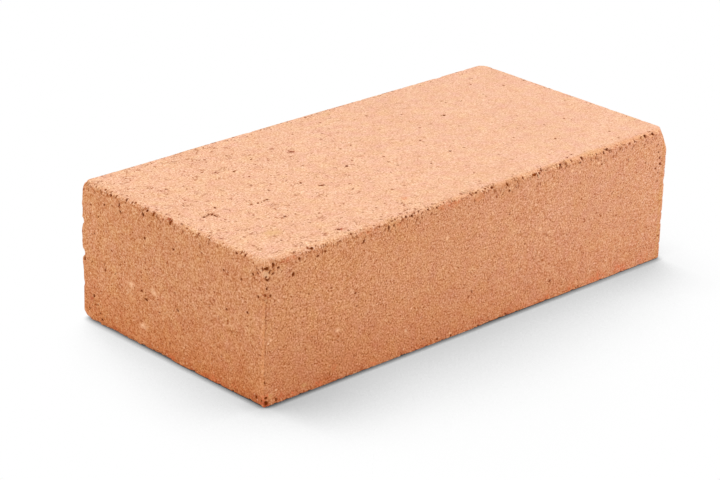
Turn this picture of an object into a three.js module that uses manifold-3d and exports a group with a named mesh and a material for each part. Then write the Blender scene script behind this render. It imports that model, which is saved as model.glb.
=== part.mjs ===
import * as THREE from 'three';
import { mergeVertices } from 'three/addons/utils/BufferGeometryUtils.js';
import Module from 'manifold-3d';

// A solid clay building brick, pressed in a box mould, dried and fired in one piece.
// Millimetres, +Z up. It lies on its base bed face, and the origin is the centre of that face.
// The length runs along X, so the stretcher faces are front (-Y) and back (+Y), and the header
// faces are left (-X) and right (+X). No frog and no perforations: both bed faces are flat.

// Work size of the brick
const LENGTH = 250;
const WIDTH = 120;
const HEIGHT = 65;

// The six faces, as outward directions
const LEFT = [-1, 0, 0];
const RIGHT = [1, 0, 0];
const FRONT = [0, -1, 0];
const BACK = [0, 1, 0];
const BASE = [0, 0, -1];
const TOP = [0, 0, 1];

// The twelve arrises. wear is the radius that handling has rubbed each one down to, and pitch is
// how far apart small chips follow one another along it.
const ARRISES = {
  topFront: { joins: [TOP, FRONT], wear: 1.6, pitch: 8 },
  topBack: { joins: [TOP, BACK], wear: 2, pitch: 16 },
  topLeft: { joins: [TOP, LEFT], wear: 1.2, pitch: 13 },
  topRight: { joins: [TOP, RIGHT], wear: 2.5, pitch: 16 },
  baseFront: { joins: [BASE, FRONT], wear: 0.5, pitch: 13 },
  baseBack: { joins: [BASE, BACK], wear: 2, pitch: 14 },
  baseLeft: { joins: [BASE, LEFT], wear: 0.5, pitch: 13 },
  baseRight: { joins: [BASE, RIGHT], wear: 2, pitch: 14 },
  leftFront: { joins: [LEFT, FRONT], wear: 1, pitch: 16 },
  leftBack: { joins: [LEFT, BACK], wear: 2, pitch: 14 },
  rightFront: { joins: [RIGHT, FRONT], wear: 1.5, pitch: 8 },
  rightBack: { joins: [RIGHT, BACK], wear: 2.5, pitch: 16 },
};

// The eight corners. knocked is how far back along each of its three arrises, in X, Y and Z,
// a corner has been rounded off by knocks.
const CORNERS = {
  leftFrontTop: { joins: [LEFT, FRONT, TOP], knocked: [4, 4, 5] },
  rightFrontTop: { joins: [RIGHT, FRONT, TOP], knocked: [9, 7, 13] },
  leftBackTop: { joins: [LEFT, BACK, TOP], knocked: [4, 7, 6] },
  rightBackTop: { joins: [RIGHT, BACK, TOP], knocked: [6, 8, 5] },
  leftFrontBase: { joins: [LEFT, FRONT, BASE], knocked: [1, 1, 1] },
  rightFrontBase: { joins: [RIGHT, FRONT, BASE], knocked: [2, 2, 2] },
  leftBackBase: { joins: [LEFT, BACK, BASE], knocked: [5, 7, 5.5] },
  rightBackBase: { joins: [RIGHT, BACK, BASE], knocked: [6, 5, 5] },
};

// Spalls: the larger flakes that have broken away. at is the distance along the arris from its
// left, front or base end, or from its other end where it is negative. long and deep are the
// size of the bite, and lean turns it from the first face of the arris (-1) to the second (1).
const SPALLS = [
  { arris: 'topFront', at: 4, long: 5, deep: 1.6, lean: 0.6 },
  { arris: 'topFront', at: 24, long: 3, deep: 0.7, lean: 0 },
  { arris: 'topFront', at: 71, long: 6, deep: 0.9, lean: 0.6 },
  { arris: 'topFront', at: 88, long: 4, deep: 0.7, lean: 0 },
  { arris: 'topFront', at: 120, long: 5, deep: 1.1, lean: 0.2 },
  { arris: 'topFront', at: -117, long: 5, deep: 1.2, lean: 0.2 },
  { arris: 'topFront', at: -97, long: 5, deep: 1, lean: -0.2 },
  { arris: 'topFront', at: -86, long: 8, deep: 1.4, lean: 0.1 },
  { arris: 'topFront', at: -72, long: 5, deep: 1.9, lean: 0.2 },
  { arris: 'topFront', at: -60, long: 5, deep: 0.9, lean: 0.3 },
  { arris: 'topFront', at: -43, long: 10, deep: 1.2, lean: 0.2 },
  { arris: 'topFront', at: -12, long: 5, deep: 1.2, lean: 0 },
  { arris: 'topLeft', at: 14, long: 3, deep: 0.9, lean: 0.3 },
  { arris: 'topLeft', at: -59, long: 4, deep: 1.1, lean: 0.2 },
  { arris: 'topLeft', at: -44, long: 4, deep: 1.2, lean: 0.6 },
  { arris: 'topLeft', at: -30, long: 4, deep: 0.7, lean: 0.2 },
  { arris: 'topRight', at: 34, long: 6, deep: 1, lean: 0 },
  { arris: 'topRight', at: -9, long: 4, deep: 0.9, lean: 0 },
  { arris: 'topBack', at: -33, long: 9, deep: 1.1, lean: 0 },
  { arris: 'topBack', at: 96, long: 5, deep: 0.8, lean: 0 },
  { arris: 'leftBack', at: 17, long: 4, deep: 0.9, lean: 0 },
  { arris: 'leftBack', at: 31, long: 5, deep: 1.2, lean: 0 },
  { arris: 'leftBack', at: 46, long: 4, deep: 1, lean: 0 },
  { arris: 'rightFront', at: 39, long: 5, deep: 0.9, lean: 0 },
  { arris: 'baseBack', at: 70, long: 12, deep: 2, lean: 0.2 },
  { arris: 'baseBack', at: -48, long: 7, deep: 1.3, lean: 0.4 },
  { arris: 'baseRight', at: 44, long: 8, deep: 1.5, lean: 0.3 },
  { arris: 'rightBack', at: 25, long: 9, deep: 1.6, lean: 0 },
];

// Small chips that run along every arris
const CHIP_LONG = 3;
const CHIP_DEEP = 0.55;

// How much longer the bite of a broken flake is than it is wide
const BITE_SLENDERNESS = 1.6;

// How unevenly a flake breaks: the share by which each point of its bite wanders
const BITE_RAGGED = 0.14;

// Fineness of the round stretches: of an arris, a corner, the bite of a spall and that of a chip
const ARC_STEPS = 2;
const CORNER_STEPS = 5;
const SPALL_STEPS = 1;
const CHIP_STEPS = 0;

// How far a cutting shape runs past the faces that it cuts
const OVERRUN = 5;

const CLAY = new THREE.MeshStandardMaterial({
  name: 'fired_clay',
  color: 0xd9946a,
  roughness: 0.92,
  metalness: 0,
  flatShading: true,
});

const wasm = await Module();
wasm.setup();

// Turns a closed three.js geometry into a solid
function solidOf(geometry) {
  geometry.deleteAttribute('normal');
  geometry.deleteAttribute('uv');
  const merged = mergeVertices(geometry);
  return new wasm.Manifold(new wasm.Mesh({
    numProp: 3,
    vertProperties: Float32Array.from(merged.attributes.position.array),
    triVerts: Uint32Array.from(merged.index.array),
  }));
}

// Turns a solid back into a three.js geometry
function geometryOf(solid) {
  const mesh = solid.getMesh();
  const geometry = new THREE.BufferGeometry();
  geometry.setAttribute('position', new THREE.BufferAttribute(mesh.vertProperties, 3));
  geometry.setIndex(new THREE.BufferAttribute(mesh.triVerts, 1));
  geometry.computeVertexNormals();
  return geometry;
}

// Evenly spread numbers from 0 to 1, the same ones each time for the same seed
function randomFrom(seed) {
  const modulus = 2147483647;
  const multiplier = 48271;
  let state = seed * multiplier + multiplier;
  return () => {
    state = (state * multiplier) % modulus;
    return state / modulus;
  };
}

// The point where the sharp planes of two or three faces meet. On an axis that none of the
// faces belongs to, it is the middle of the brick.
const CENTRE = new THREE.Vector3(0, 0, HEIGHT / 2);
const HALF = new THREE.Vector3(LENGTH / 2, WIDTH / 2, HEIGHT / 2);

function outwardOf(faces) {
  const outward = new THREE.Vector3();
  faces.forEach((face) => outward.add(new THREE.Vector3(...face)));
  return outward;
}

function meetingPoint(faces) {
  return outwardOf(faces).multiply(HALF).add(CENTRE);
}

// A rectangle about its centre. radii are those of its lower left, lower right, upper right and
// upper left corners.
function wornRectangle(width, height, radii) {
  const [lowerLeft, lowerRight, upperRight, upperLeft] = radii;
  const x = width / 2;
  const y = height / 2;
  const quarter = Math.PI / 2;
  const outline = new THREE.Shape();
  outline.moveTo(-x + lowerLeft, -y);
  outline.absarc(x - lowerRight, -y + lowerRight, lowerRight, -quarter, 0);
  outline.absarc(x - upperRight, y - upperRight, upperRight, 0, quarter);
  outline.absarc(-x + upperLeft, y - upperLeft, upperLeft, quarter, 2 * quarter);
  outline.absarc(-x + lowerLeft, -y + lowerLeft, lowerLeft, 2 * quarter, 3 * quarter);
  return outline;
}

// Extrudes an outline through the whole brick. across and up are the directions of the
// outline's own two axes.
function pressedThrough(outline, across, up, depth) {
  const run = depth + 2 * OVERRUN;
  const geometry = new THREE.ExtrudeGeometry(outline, {
    depth: run,
    bevelEnabled: false,
    curveSegments: ARC_STEPS,
  });
  geometry.translate(0, 0, -run / 2);
  const xAxis = new THREE.Vector3(...across);
  const yAxis = new THREE.Vector3(...up);
  const zAxis = new THREE.Vector3().crossVectors(xAxis, yAxis);
  const placed = new THREE.Matrix4().makeBasis(xAxis, yAxis, zAxis).setPosition(CENTRE);
  return solidOf(geometry.applyMatrix4(placed));
}

// The brick as it leaves the kiln and the pallet: three outlines pressed through one another,
// so that each of the twelve arrises has a wear radius of its own.
function blank() {
  const wear = (name) => ARRISES[name].wear;
  const plan = wornRectangle(LENGTH, WIDTH, ['leftFront', 'rightFront', 'rightBack', 'leftBack'].map(wear));
  const side = wornRectangle(LENGTH, HEIGHT, ['baseLeft', 'baseRight', 'topRight', 'topLeft'].map(wear));
  const end = wornRectangle(WIDTH, HEIGHT, ['baseFront', 'baseBack', 'topBack', 'topFront'].map(wear));
  return pressedThrough(plan, RIGHT, BACK, HEIGHT)
    .intersect(pressedThrough(side, RIGHT, TOP, WIDTH))
    .intersect(pressedThrough(end, BACK, TOP, LENGTH));
}

// What a knock takes off a corner: a block on the corner, less a ball that the rest of the
// brick fits inside. The ball passes through the three arrises at the knocked distances.
function knockedOff({ joins, knocked }) {
  const ballInset = 2;
  const ballRadius = Math.hypot(ballInset - 1, ballInset, ballInset);
  const outer = OVERRUN / Math.min(...knocked);
  const block = new THREE.BoxGeometry(1 + outer, 1 + outer, 1 + outer);
  block.translate((outer - 1) / 2, (outer - 1) / 2, (outer - 1) / 2);
  const ball = new THREE.IcosahedronGeometry(ballRadius, CORNER_STEPS);
  ball.translate(-ballInset, -ballInset, -ballInset);
  const cut = solidOf(block).subtract(solidOf(ball));
  const outward = outwardOf(joins);
  const size = new THREE.Vector3(...knocked);
  const corner = meetingPoint(joins);
  const placed = new THREE.Matrix4().makeScale(
    outward.x * size.x,
    outward.y * size.y,
    outward.z * size.z,
  ).setPosition(corner);
  return cut.transform(placed.elements);
}

// The hollow left where a flake has broken away: an uneven ball, longer along the arris than
// across it, that reaches the given depth below the worn arris.
function bite(name, { at, long, deep, lean }, steps, random) {
  const { joins, wear } = ARRISES[name];
  const [first, second] = joins.map((face) => new THREE.Vector3(...face));
  const along = new THREE.Vector3(1, 1, 1).sub(outwardOf(joins).clone().multiply(outwardOf(joins)));
  const reach = long / 2;
  const across = Math.max(reach / BITE_SLENDERNESS, deep);

  const ball = new THREE.IcosahedronGeometry(1, steps);
  ball.deleteAttribute('normal');
  ball.deleteAttribute('uv');
  const ragged = mergeVertices(ball);
  const points = ragged.attributes.position;
  for (let i = 0; i < points.count; i += 1) {
    const grow = 1 + BITE_RAGGED * (2 * random() - 1);
    points.setXYZ(i, points.getX(i) * grow, points.getY(i) * grow, points.getZ(i) * grow);
  }

  const halfTurn = Math.PI / 4;
  const inward = first.clone().multiplyScalar(-Math.cos(halfTurn * (1 + lean)));
  inward.addScaledVector(second, -Math.sin(halfTurn * (1 + lean)));
  const sideways = new THREE.Vector3().crossVectors(along, inward);
  const wornBack = wear * (Math.SQRT2 - 1);
  const distance = at < 0 ? 2 * HALF.dot(along) + at : at;
  const centre = meetingPoint(joins).addScaledVector(along, distance - HALF.dot(along));
  centre.addScaledVector(outwardOf(joins).normalize(), across - deep - wornBack);

  const placed = new THREE.Matrix4().makeBasis(along, inward, sideways);
  placed.scale(new THREE.Vector3(reach, across, across * (1 + random())));
  placed.setPosition(centre);
  return solidOf(ragged.applyMatrix4(placed));
}

// The small chips along one arris, at an uneven pitch
function chipsAlong(name, random) {
  const { joins, pitch } = ARRISES[name];
  const onAxis = outwardOf(joins);
  const run = 2 * HALF.dot(new THREE.Vector3(1, 1, 1).sub(onAxis.clone().multiply(onAxis)));
  const chips = [];
  let at = pitch * random();
  while (at < run) {
    const size = 0.6 + 0.8 * random();
    const chip = { at, long: CHIP_LONG * size, deep: CHIP_DEEP * size, lean: 2 * random() - 1 };
    chips.push(bite(name, chip, CHIP_STEPS, random));
    at += pitch * (0.5 + random());
  }
  return chips;
}

function brick() {
  let body = blank();
  Object.values(CORNERS).forEach((corner) => {
    body = body.subtract(knockedOff(corner));
  });
  Object.keys(ARRISES).forEach((name, index) => {
    const random = randomFrom(index + 1);
    const spalls = SPALLS.filter((spall) => spall.arris === name);
    spalls.forEach((spall) => {
      body = body.subtract(bite(name, spall, SPALL_STEPS, random));
    });
    chipsAlong(name, random).forEach((chip) => {
      body = body.subtract(chip);
    });
  });
  const mesh = new THREE.Mesh(geometryOf(body), CLAY);
  mesh.name = 'brick';
  return mesh;
}

const clayBrick = new THREE.Group();
clayBrick.add(brick());

export default clayBrick;
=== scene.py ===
import math
from types import SimpleNamespace

import bpy
import numpy as np
from mathutils import Matrix, Vector


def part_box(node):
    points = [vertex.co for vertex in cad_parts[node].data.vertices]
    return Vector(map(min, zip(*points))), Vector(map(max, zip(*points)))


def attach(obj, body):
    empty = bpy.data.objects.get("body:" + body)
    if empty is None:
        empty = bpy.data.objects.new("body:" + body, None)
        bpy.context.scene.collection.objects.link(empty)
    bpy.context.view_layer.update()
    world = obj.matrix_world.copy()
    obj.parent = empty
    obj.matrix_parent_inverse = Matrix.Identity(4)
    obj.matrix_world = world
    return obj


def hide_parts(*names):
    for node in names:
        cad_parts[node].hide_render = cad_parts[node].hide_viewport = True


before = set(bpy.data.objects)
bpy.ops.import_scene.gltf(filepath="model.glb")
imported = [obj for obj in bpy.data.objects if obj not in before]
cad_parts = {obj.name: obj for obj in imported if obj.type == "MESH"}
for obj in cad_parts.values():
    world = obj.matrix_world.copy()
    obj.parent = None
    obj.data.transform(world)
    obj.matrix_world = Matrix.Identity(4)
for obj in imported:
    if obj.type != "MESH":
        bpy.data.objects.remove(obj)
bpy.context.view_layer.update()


# ---- The view -------------------------------------------------------------------------------
# The brick is seen from its left front corner and a little above, through a long lens, with the
# camera tipped very slightly to one side.
MM = 0.001
CAMERA_AT = Vector((-802.9, -808.6, 491.3)) * MM
CAMERA_AIM = Vector((-24.2, -10.5, 32.5)) * MM
CAMERA_ROLL = math.radians(1.785)
LENS = 136.07
SENSOR = 36.0

camera = bpy.data.objects.new("view", bpy.data.cameras.new("view"))
camera.data.lens = LENS
camera.data.sensor_width = SENSOR
camera.data.clip_start = 0.05
camera.data.clip_end = 50.0
looking = (CAMERA_AIM - CAMERA_AT).to_track_quat("-Z", "Y").to_matrix()
camera.matrix_world = Matrix.Translation(CAMERA_AT) @ (
    looking @ Matrix.Rotation(CAMERA_ROLL, 3, "Z")
).to_4x4()
bpy.context.scene.collection.objects.link(camera)
bpy.context.scene.camera = camera


# ---- The brick: its shape ---------------------------------------------------------------------
# A solid brick of coarse clay, pressed in a box mould, dried and fired in one piece. Its faces are
# flat but open-grained, with pits where grit and air came out, and its arrises have crumbled.
low, high = (np.array(corner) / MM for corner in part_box("brick"))
LENGTH, WIDTH, HEIGHT = high - low

# Each face: the axis that it faces along, its side of the brick, and its two own axes
FACES = {
    "left": (0, 0, 1, 2),
    "right": (0, 1, 1, 2),
    "front": (1, 0, 0, 2),
    "back": (1, 1, 0, 2),
    "base": (2, 0, 0, 1),
    "top": (2, 1, 0, 1),
}

VOXEL = 0.34 * MM


def apply_modifiers(thing):
    """Gives a thing the mesh that its modifiers make of it."""
    seen = thing.evaluated_get(bpy.context.evaluated_depsgraph_get())
    made = bpy.data.meshes.new_from_object(seen)
    thing.modifiers.clear()
    thing.data = made
    made.name = thing.name


def dense_copy(source, name):
    """A closed mesh of even small faces over the whole of a solid."""
    copied = bpy.data.objects.new(name, source.data.copy())
    bpy.context.scene.collection.objects.link(copied)
    remesh = copied.modifiers.new("even", "REMESH")
    remesh.mode = "VOXEL"
    remesh.voxel_size = VOXEL
    apply_modifiers(copied)
    return copied


def lumps(points, size, seed):
    """Soft random lumps of about that size in mm, from -1 to 1, at each of the points."""
    cells = np.floor(points / size).astype(int)
    cells -= cells.min(axis=0)
    part = points / size - np.floor(points / size)
    part = part * part * (3 - 2 * part)
    table = np.random.default_rng(seed).uniform(-1, 1, tuple(cells.max(axis=0) + 2))
    total = np.zeros(len(points))
    for corner in np.ndindex(2, 2, 2):
        share = np.ones(len(points))
        for axis in range(3):
            share = share * (part[:, axis] if corner[axis] else 1 - part[:, axis])
        total += share * table[tuple((cells + corner).T)]
    return total


def layered(points, layers):
    """Lumps upon lumps. Each layer is how strong it is, the size of its lumps, and its seed."""
    return sum(strong * lumps(points, size, seed) for strong, size, seed in layers)


def smooth_step(value, start, end):
    part = np.clip((value - start) / (end - start), 0, 1)
    return part * part * (3 - 2 * part)


def below_face(points, face):
    """How deep the points are below the plane of a face, in mm. Points count from the corner."""
    axis, side, _, _ = FACES[face]
    size = (LENGTH, WIDTH, HEIGHT)[axis]
    return size - points[:, axis] if side else points[:, axis]


def inward(face):
    axis, side, _, _ = FACES[face]
    direction = np.zeros(3)
    direction[axis] = -1 if side else 1
    return direction


# The arrises. Each one: its two faces, how deep it crumbles in mm, how far the crumbling reaches
# from it, the share of it that has crumbled, and how many crumbs are gone from each 100 mm of it
ARRISES = [
    ("top", "front", 0.5, 2.2, 0.35, 34),
    ("top", "left", 0.35, 1.6, 0.28, 26),
    ("top", "back", 0.5, 2.5, 0.35, 26),
    ("top", "right", 0.6, 2.5, 0.40, 36),
    ("base", "front", 0.15, 1.4, 0.25, 22),
    ("base", "left", 0.3, 1.8, 0.30, 24),
    ("base", "back", 0.6, 3.0, 0.35, 30),
    ("base", "right", 0.6, 3.0, 0.35, 30),
    ("left", "front", 0.15, 1.0, 0.20, 5),
    ("left", "back", 0.15, 1.2, 0.25, 12),
    ("right", "front", 0.5, 2.4, 0.40, 40),
    ("right", "back", 0.6, 2.5, 0.40, 34),
]

# How wide and deep a crumb is in mm, how far a huddle of them spreads and how many it holds, how
# far they are turned in degrees, the share of them on the first of an arris's two faces, and how
# strongly they keep to the arris, where 1 would spread them evenly. The lists below hold all the
# crumbs of the two upper arrises in front up to MARKED_TO from their end.
CRUMB_ACROSS = (0.45, 1.0)
CRUMB_DEEP = (0.3, 0.7)
CRUMB_HUDDLE = 4.0
CRUMBS_TO_HUDDLE = 5
CRUMB_TURN = 55.0
CRUMBS_ON_FIRST_FACE = 0.35
CRUMB_LEAST_AWAY = 0.2
CRUMBS_NEAR_ARRIS = 1.5
MARKED_TO = 22.0

# Where an arris is sharper than the rest of it, or blunter (less than 0): its two faces, from where
# to where along it, and by how much, all in mm
EDGE_CHANGES = [
    ("base", "front", 0, 120, 0.5),
    ("left", "back", 32, 50, 0.35),
    ("base", "left", 66, 122, -0.42),
    ("top", "back", 0, 45, -0.5),
]

# Each change fades out so far beyond its ends, and from so far to so far away from the arris
EDGE_FADE = 14.0
EDGE_REACH = (2.2, 0.8)

# Pits and nicks that stand out on each face: how far along and up it they are in mm from its left,
# front or base edge, their length, width and depth in mm, and how far they are turned in degrees
MARKS = {
    "top": [
        (39.9, 32.2, 2.7, 1.8, 1.8, 47),
        (13.2, 53.6, 2.3, 1.3, 1.1, 47),
        (14.9, 53.7, 1.7, 1.1, 0.9, 47),
        (16.6, 54.5, 2.0, 1.2, 1.0, 47),
        (17.6, 53.6, 2.5, 1.4, 1.3, 47),
        (17.8, 52.1, 2.2, 1.3, 1.1, 47),
        (17.9, 50.9, 1.9, 1.3, 1.0, 47),
        (23.6, 58.6, 2.2, 1.3, 0.9, 47),
        (41.2, 51.0, 2.0, 1.1, 0.9, 47),
        (42.8, 50.7, 1.4, 0.8, 0.7, 47),
        (44.8, 51.2, 1.9, 1.1, 0.9, 47),
        (46.8, 51.6, 2.3, 1.3, 1.1, 47),
        (45, 45, 7.0, 0.8, 0.4, -43),
        (47.4, 7.6, 2.6, 1.8, 1.3, 47),
        (57.7, 85.5, 2.2, 1.4, 0.9, 47),
        (52.7, 68.6, 2.0, 1.1, 0.9, 47),
        (66.7, 68.7, 1.5, 0.9, 0.6, 47),
        (71.3, 57.0, 2.4, 1.2, 0.7, 47),
        (73.3, 91.9, 1.9, 1.2, 0.8, 47),
        (76.2, 49.0, 3.2, 2.1, 0.7, -28),
        (93.6, 87.6, 3.0, 2.1, 0.6, -28),
        (100.6, 59.2, 2.4, 1.5, 1.1, 40),
        (103.7, 59.0, 2.2, 1.1, 0.5, -28),
        (133, 9, 1.6, 1.2, 0.8, 0),
        (148.7, 61.7, 1.9, 1.3, 0.9, 47),
        (149.6, 43.5, 2.2, 1.5, 1.1, 40),
        (181.5, 78.9, 2.2, 1.5, 0.9, 40),
        (198.5, 24.5, 2.2, 1.4, 0.6, 30),
        (181, 12, 1.6, 1.1, 0.7, 0),
        (83.6, 37.2, 1.8, 1.2, 0.7, 47),
        (120, 77, 1.8, 1.1, 0.8, 47),
        (131.8, 37.7, 1.6, 1.0, 0.7, 47),
        (45.5, 111, 2.6, 1.2, 0.6, -28),
        (21, 88, 1.8, 0.9, 0.7, 10),
        (50.7, 89.7, 1.8, 1.0, 0.6, 47),
        (195, 45, 1.4, 1.0, 0.6, 0),
        (184.5, 4.4, 2.4, 1.0, 0.7, 20),
        (188.7, 5.8, 1.8, 0.9, 0.7, 0),
        (239, 3.1, 2.4, 0.9, 0.8, 0),
    ],
    "front": [
        (1.1, 61.7, 2.0, 1.5, 1.3, 0),
        (4.6, 62.1, 2.3, 1.3, 1.3, 50),
        (7.1, 60.6, 1.5, 1.3, 1.2, 0),
        (2.3, 60.0, 1.9, 0.8, 0.9, 60),
        (4.0, 58.9, 1.7, 0.9, 0.9, 10),
        (1.9, 57.0, 2.4, 0.8, 1.1, 48),
        (0.7, 57.2, 2.2, 0.7, 0.9, -60),
        (1.1, 53.1, 1.1, 1.4, 1.1, 0),
        (3.1, 49.3, 1.0, 1.7, 0.8, 0),
        (15.3, 55.4, 1.9, 1.5, 1.0, 60),
        (18.9, 60.7, 0.6, 0.9, 0.5, 0),
        (242.8, 58.3, 0.9, 1.3, 0.7, 0),
        (245.2, 48.3, 1.3, 1.4, 1.0, 0),
        (241.9, 46.6, 1.1, 0.9, 0.8, 0),
        (1.6, 1.5, 2.0, 1.8, 1.3, 0),
        (1.6, 3.6, 2.2, 1.4, 0.9, 0),
        (7.2, 1.8, 0.9, 1.6, 0.7, 0),
        (29, 60, 1.8, 0.9, 0.8, 20),
        (33, 61, 1.4, 0.8, 0.7, 0),
        (51, 37, 1.4, 1.1, 0.65, 0),
        (55, 59.5, 2.6, 1.2, 1.0, 40),
        (41, 63.3, 2.0, 0.8, 0.5, 10),
        (60, 34, 1.2, 0.9, 0.6, 0),
        (69.5, 61.8, 2.4, 1.2, 1.0, 110),
        (72.6, 62.2, 1.3, 0.9, 0.8, 90),
        (120, 16, 1.8, 1.2, 0.5, 30),
        (122, 18, 1.6, 1.0, 0.5, 120),
        (155, 32, 1.2, 0.9, 0.5, 0),
        (173, 9, 1.4, 1.0, 0.6, 0),
        (143, 60.4, 1.3, 1.1, 0.8, 0),
        (204, 58, 1.4, 1.0, 0.5, 0),
        (243.6, 54.6, 0.8, 1.2, 0.7, 0),
        (244.6, 51.4, 0.8, 1.3, 0.8, 0),
        (244.0, 44.4, 0.8, 1.3, 0.7, 0),
        (243.7, 40.2, 0.7, 1.2, 0.6, 0),
    ],
    "left": [
        (60.3, 63.6, 1.1, 2.4, 0.9, 0),
        (2.3, 61.0, 0.8, 2.2, 1.0, 0),
        (0.6, 57.8, 0.8, 2.2, 1.0, 30),
        (5.1, 58.5, 1.3, 1.1, 0.9, 0),
        (7.9, 57.2, 1.4, 1.2, 1.1, 0),
        (15.1, 52.6, 1.3, 1.2, 0.9, 0),
        (1.6, 2.4, 1.3, 1.1, 1.0, 0),
        (5.0, 3.1, 1.4, 1.8, 0.8, 0),
        (106, 3.2, 1.9, 1.6, 1.4, 0),
        (107.4, 5.7, 1.3, 1.1, 0.8, 0),
        (114.7, 6.0, 1.3, 1.1, 0.8, 0),
        (111.8, 12.7, 1.8, 1.5, 1.2, 0),
        (103.6, 27.8, 1.2, 1.8, 1.0, 0),
        (117.9, 28.8, 1.4, 2.6, 0.8, 0),
        (111.1, 42.3, 1.1, 1.0, 0.8, 0),
        (102.7, 45.8, 1.1, 0.8, 0.5, 20),
        (108.2, 51.1, 1.3, 0.9, 0.8, 0),
        (104, 57.9, 1.3, 1.0, 0.9, 0),
        (4.6, 48.3, 1.5, 1.1, 0.9, 30),
        (78, 61.2, 2.1, 1.6, 1.4, 90),
        (76, 63.6, 1.7, 1.2, 1.1, 0),
        (94, 61, 3.2, 0.9, 0.9, 115),
        (93, 58, 1.5, 1.1, 0.8, 45),
        (77, 51, 1.9, 1.3, 0.8, 0),
        (58, 52, 2.0, 1.2, 0.9, 0),
        (24, 36, 1.3, 1.1, 0.9, 0),
        (11, 39, 1.3, 1.1, 0.9, 0),
        (55, 25, 1.6, 1.5, 1.2, 0),
        (76, 23, 2.2, 1.2, 0.8, 0),
        (67, 20, 1.6, 0.9, 0.6, 0),
        (26, 53, 1.3, 0.9, 0.7, 45),
    ],
}

# Nicks right on the two upper arrises in front: how far along they are, how far down the side
# face (or back on the top, where negative), and their width along the arris, height and depth
ARRIS_NICKS = {
    ("top", "front"): [
        (18.5, 3.3, 1.2, 1.2, 0.8),
        (25.6, 1.0, 1.6, 1.1, 1.0),
        (48, 0.6, 1.2, 1.0, 0.6),
        (58.5, -2.6, 0.8, 1.8, 0.7),
        (80, 0.9, 1.4, 1.3, 1.1),
        (83, 1.2, 1.3, 1.2, 1.0),
        (88, 0.6, 1.2, 1.1, 0.9),
        (93, 0.9, 1.3, 1.2, 1.0),
        (98, 1.3, 1.1, 1.0, 0.8),
        (103, 0.2, 1.4, 0.9, 0.7),
        (119.5, 0.4, 1.7, 1.3, 1.3),
        (122.5, 0.6, 1.3, 1.2, 1.0),
        (128.5, 0.2, 1.2, 1.0, 0.8),
        (133, 1.0, 1.9, 1.3, 1.2),
        (141.5, -0.3, 1.7, 1.5, 1.1),
        (152.1, 1.3, 1.2, 1.2, 1.1),
        (158.8, -0.4, 2.6, 0.9, 0.9),
        (161.2, 2.1, 0.9, 2.8, 1.3),
        (162.8, 1.6, 1.0, 1.1, 1.0),
        (164.7, 0.6, 1.4, 1.6, 1.3),
        (177.2, 1.6, 2.1, 1.8, 1.9),
        (183.7, 0.6, 1.1, 1.5, 1.0),
        (188.9, 2.6, 1.0, 1.0, 0.9),
        (190.6, 1.1, 1.0, 1.7, 1.1),
        (199.8, 1.2, 1.2, 1.2, 1.0),
        (204.9, 1.9, 1.2, 1.7, 1.1),
        (207.6, 1.1, 1.3, 1.3, 1.2),
        (218.9, 1.1, 0.9, 0.9, 0.7),
        (222.5, -0.2, 0.8, 1.4, 0.9),
        (226.2, 1.4, 1.0, 1.1, 0.9),
        (231.4, -1.3, 1.3, 1.0, 1.0),
        (233.7, 0.7, 1.6, 1.4, 1.4),
        (239.7, 0.9, 1.4, 1.3, 1.3),
    ],
    ("top", "left"): [
        (13.2, 1.4, 1.3, 1.1, 1.1),
        (15.5, -0.4, 2.0, 0.7, 0.7),
        (18.2, 1.9, 1.5, 1.1, 1.1),
        (36.5, -1.2, 1.1, 1.3, 0.6),
        (53.5, -1.0, 0.8, 1.9, 0.8),
        (71, -0.4, 1.4, 1.3, 1.0),
        (84, 0.1, 1.2, 0.9, 0.8),
        (89.5, 0.8, 1.4, 1.0, 0.8),
        (96, -0.3, 1.6, 1.0, 0.8),
        (99.5, 1.4, 1.3, 1.2, 0.9),
        (104, 0.2, 1.4, 0.8, 0.7),
        (110, -0.6, 1.2, 0.9, 0.7),
    ],
}

# Patches of another tone. The smooth ones are even, and the rest are crumbly.
PATCH_TONES = {
    "stain": (0.72, 0.43, 0.17, 1),
    "pale": (0.87, 0.56, 0.34, 1),
    "bare": (0.63, 0.27, 0.12, 1),
    "grain": (1.0, 0.60, 0.36, 1),
    "ember": (0.70, 0.19, 0.075, 1),
    "red": (0.46, 0.100, 0.040, 1),
}
SMOOTH_PATCHES = ("stain", "pale", "bare", "grain")

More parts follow.
